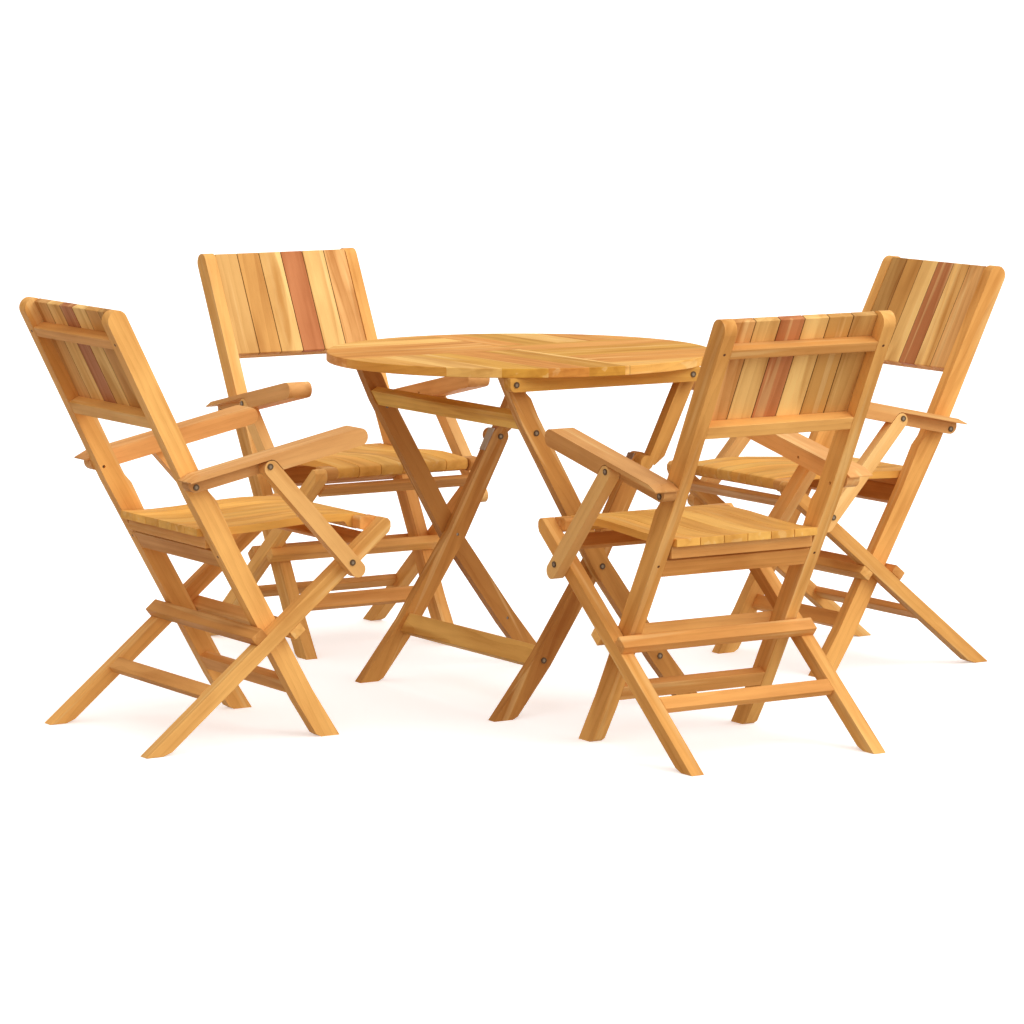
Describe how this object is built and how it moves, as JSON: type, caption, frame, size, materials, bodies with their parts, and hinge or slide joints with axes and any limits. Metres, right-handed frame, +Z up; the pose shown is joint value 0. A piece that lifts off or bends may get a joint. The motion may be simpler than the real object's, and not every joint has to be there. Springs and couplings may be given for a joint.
{
  "type": "patio dining set",
  "caption": "Round folding table with folding slatted armchairs around it, in teak; the legs cross and fold flat, and the seats, arms and backs fold with them.",
  "frame": {"origin": "on the floor, under the middle of the whole set", "axes": "+Z up; +X and +Y run level towards two of the chairs, square to each other"},
  "size_m": [2.289, 2.198, 0.9],
  "materials": {
    "table_top_teak": "oiled",
    "table_rail_teak": "oiled",
    "table_leg_teak": "oiled",
    "frame_teak": "oiled",
    "rail_teak": "oiled",
    "back_slat_teak": "oiled, slats of several tones",
    "seat_slat_teak": "oiled",
    "arm_teak": "oiled",
    "steel": "satin"
  },
  "bodies": {
    "table": {"table_top": "table_top_teak", "table_rails": "table_rail_teak", "table_rail_bolts": "steel"},
    "table_outer": {"table_outer_legs": "table_leg_teak", "table_outer_crossbar": "table_rail_teak", "table_outer_leg_bolts": "steel"},
    "table_inner": {"table_inner_legs": "table_leg_teak", "table_inner_stretcher": "table_rail_teak", "table_inner_leg_bolts": "steel", "table_catch_plates": "steel"},
    "table_stay_pair": {"table_stays": "table_leg_teak"},
    "chair_1": {"chair_1_stiles": "frame_teak", "chair_1_cross_rails": "rail_teak", "chair_1_back_slats": "back_slat_teak"},
    "chair_1_leg_frame": {"chair_1_legs": "frame_teak", "chair_1_leg_rails": "rail_teak", "chair_1_hinge_pins": "steel"},
    "chair_1_seat": {"chair_1_seat_slats": "seat_slat_teak", "chair_1_seat_batten": "rail_teak"},
    "chair_1_arm_pair": {"chair_1_arms": "arm_teak", "chair_1_arm_bolts": "steel"},
    "chair_1_strut_pair": {"chair_1_struts": "frame_teak", "chair_1_strut_bolts": "steel"},
    "chair_2": {"chair_2_stiles": "frame_teak", "chair_2_cross_rails": "rail_teak", "chair_2_back_slats": "back_slat_teak"},
    "chair_2_leg_frame": {"chair_2_legs": "frame_teak", "chair_2_leg_rails": "rail_teak", "chair_2_hinge_pins": "steel"},
    "chair_2_seat": {"chair_2_seat_slats": "seat_slat_teak", "chair_2_seat_batten": "rail_teak"},
    "chair_2_arm_pair": {"chair_2_arms": "arm_teak", "chair_2_arm_bolts": "steel"},
    "chair_2_strut_pair": {"chair_2_struts": "frame_teak", "chair_2_strut_bolts": "steel"},
    "chair_3": {"chair_3_stiles": "frame_teak", "chair_3_cross_rails": "rail_teak", "chair_3_back_slats": "back_slat_teak"},
    "chair_3_leg_frame": {"chair_3_legs": "frame_teak", "chair_3_leg_rails": "rail_teak", "chair_3_hinge_pins": "steel"},
    "chair_3_seat": {"chair_3_seat_slats": "seat_slat_teak", "chair_3_seat_batten": "rail_teak"},
    "chair_3_arm_pair": {"chair_3_arms": "arm_teak", "chair_3_arm_bolts": "steel"},
    "chair_3_strut_pair": {"chair_3_struts": "frame_teak", "chair_3_strut_bolts": "steel"},
    "chair_4": {"chair_4_stiles": "frame_teak", "chair_4_cross_rails": "rail_teak", "chair_4_back_slats": "back_slat_teak"},
    "chair_4_leg_frame": {"chair_4_legs": "frame_teak", "chair_4_leg_rails": "rail_teak", "chair_4_hinge_pins": "steel"},
    "chair_4_seat": {"chair_4_seat_slats": "seat_slat_teak", "chair_4_seat_batten": "rail_teak"},
    "chair_4_arm_pair": {"chair_4_arms": "arm_teak", "chair_4_arm_bolts": "steel"},
    "chair_4_strut_pair": {"chair_4_struts": "frame_teak", "chair_4_strut_bolts": "steel"}
  },
  "joints": [
    {"name": "table_fold", "type": "hinge", "parent": "table", "child": "table_outer", "pos_m": [-0.256, -0.0295, 0.7145], "axis": [0, -1, 0], "range_deg": [0, 44]},
    {"name": "table_cross", "type": "hinge", "parent": "table_outer", "child": "table_inner", "pos_m": [-0.0245, -0.0295, 0.3146], "axis": [0, -1, 0], "range_deg": [0, 45.7]},
    {"name": "table_stay_fold", "type": "hinge", "parent": "table", "child": "table_stay_pair", "pos_m": [0.186, -0.0295, 0.7145], "axis": [0, -1, 0], "range_deg": [-58.9, 0]},
    {"name": "chair_1_place", "type": "slide", "parent": "table", "child": "chair_1", "axis": [-1, 0, 0], "range_m": [0, 0.3]},
    {"name": "chair_1_fold", "type": "hinge", "parent": "chair_1", "child": "chair_1_leg_frame", "pos_m": [-0.7832, -0.0755, 0.2274], "axis": [0, -1, 0], "range_deg": [0, 60]},
    {"name": "chair_1_seat_fold", "type": "hinge", "parent": "chair_1_leg_frame", "child": "chair_1_seat", "pos_m": [-0.568, -0.0755, 0.439], "axis": [0, -1, 0], "range_deg": [-136, 0]},
    {"name": "chair_1_arm_fold", "type": "hinge", "parent": "chair_1", "child": "chair_1_arm_pair", "pos_m": [-0.9693, -0.0755, 0.5405], "axis": [0, -1, 0], "range_deg": [0, 63.7]},
    {"name": "chair_1_strut_fold", "type": "hinge", "parent": "chair_1_arm_pair", "child": "chair_1_strut_pair", "pos_m": [-0.8151, -0.0755, 0.5754], "axis": [0, -1, 0], "range_deg": [-83.5, 0]},
    {"name": "chair_2_place", "type": "slide", "parent": "table", "child": "chair_2", "axis": [0, 1, 0], "range_m": [0, 0.3]},
    {"name": "chair_2_fold", "type": "hinge", "parent": "chair_2", "child": "chair_2_leg_frame", "pos_m": [-0.02, 0.7377, 0.2274], "axis": [-1, 0, 0], "range_deg": [0, 60]},
    {"name": "chair_2_seat_fold", "type": "hinge", "parent": "chair_2_leg_frame", "child": "chair_2_seat", "pos_m": [-0.02, 0.5225, 0.439], "axis": [-1, 0, 0], "range_deg": [-136, 0]},
    {"name": "chair_2_arm_fold", "type": "hinge", "parent": "chair_2", "child": "chair_2_arm_pair", "pos_m": [-0.02, 0.9238, 0.5405], "axis": [-1, 0, 0], "range_deg": [0, 63.7]},
    {"name": "chair_2_strut_fold", "type": "hinge", "parent": "chair_2_arm_pair", "child": "chair_2_strut_pair", "pos_m": [-0.02, 0.7696, 0.5754], "axis": [-1, 0, 0], "range_deg": [-83.5, 0]},
    {"name": "chair_3_place", "type": "slide", "parent": "table", "child": "chair_3", "axis": [1, 0, 0], "range_m": [0, 0.3]},
    {"name": "chair_3_fold", "type": "hinge", "parent": "chair_3", "child": "chair_3_leg_frame", "pos_m": [0.7832, -0.0225, 0.2274], "axis": [0, 1, 0], "range_deg": [0, 60]},
    {"name": "chair_3_seat_fold", "type": "hinge", "parent": "chair_3_leg_frame", "child": "chair_3_seat", "pos_m": [0.568, -0.0225, 0.439], "axis": [0, 1, 0], "range_deg": [-136, 0]},
    {"name": "chair_3_arm_fold", "type": "hinge", "parent": "chair_3", "child": "chair_3_arm_pair", "pos_m": [0.9693, -0.0225, 0.5405], "axis": [0, 1, 0], "range_deg": [0, 63.7]},
    {"name": "chair_3_strut_fold", "type": "hinge", "parent": "chair_3_arm_pair", "child": "chair_3_strut_pair", "pos_m": [0.8151, -0.0225, 0.5754], "axis": [0, 1, 0], "range_deg": [-83.5, 0]},
    {"name": "chair_4_place", "type": "slide", "parent": "table", "child": "chair_4", "axis": [0, -1, 0], "range_m": [0, 0.3]},
    {"name": "chair_4_fold", "type": "hinge", "parent": "chair_4", "child": "chair_4_leg_frame", "pos_m": [-0.025, -0.7377, 0.2274], "axis": [1, 0, 0], "range_deg": [0, 60]},
    {"name": "chair_4_seat_fold", "type": "hinge", "parent": "chair_4_leg_frame", "child": "chair_4_seat", "pos_m": [-0.025, -0.5225, 0.439], "axis": [1, 0, 0], "range_deg": [-136, 0]},
    {"name": "chair_4_arm_fold", "type": "hinge", "parent": "chair_4", "child": "chair_4_arm_pair", "pos_m": [-0.025, -0.9238, 0.5405], "axis": [1, 0, 0], "range_deg": [0, 63.7]},
    {"name": "chair_4_strut_fold", "type": "hinge", "parent": "chair_4_arm_pair", "child": "chair_4_strut_pair", "pos_m": [-0.025, -0.7696, 0.5754], "axis": [1, 0, 0], "range_deg": [-83.5, 0]}
  ],
  "couplings": [
    {"joint": "table_cross", "follows": "table_fold", "ratio": 1.0364},
    {"joint": "table_stay_fold", "follows": "table_fold", "ratio": -1.3364},
    {"joint": "chair_1_seat_fold", "follows": "chair_1_fold", "ratio": -2.2666},
    {"joint": "chair_1_arm_fold", "follows": "chair_1_fold", "ratio": 1.0605},
    {"joint": "chair_1_strut_fold", "follows": "chair_1_fold", "ratio": -1.3906},
    {"joint": "chair_2_seat_fold", "follows": "chair_2_fold", "ratio": -2.2666},
    {"joint": "chair_2_arm_fold", "follows": "chair_2_fold", "ratio": 1.0605},
    {"joint": "chair_2_strut_fold", "follows": "chair_2_fold", "ratio": -1.3906},
    {"joint": "chair_3_seat_fold", "follows": "chair_3_fold", "ratio": -2.2666},
    {"joint": "chair_3_arm_fold", "follows": "chair_3_fold", "ratio": 1.0605},
    {"joint": "chair_3_strut_fold", "follows": "chair_3_fold", "ratio": -1.3906},
    {"joint": "chair_4_seat_fold", "follows": "chair_4_fold", "ratio": -2.2666},
    {"joint": "chair_4_arm_fold", "follows": "chair_4_fold", "ratio": 1.0605},
    {"joint": "chair_4_strut_fold", "follows": "chair_4_fold", "ratio": -1.3906}
  ]
}
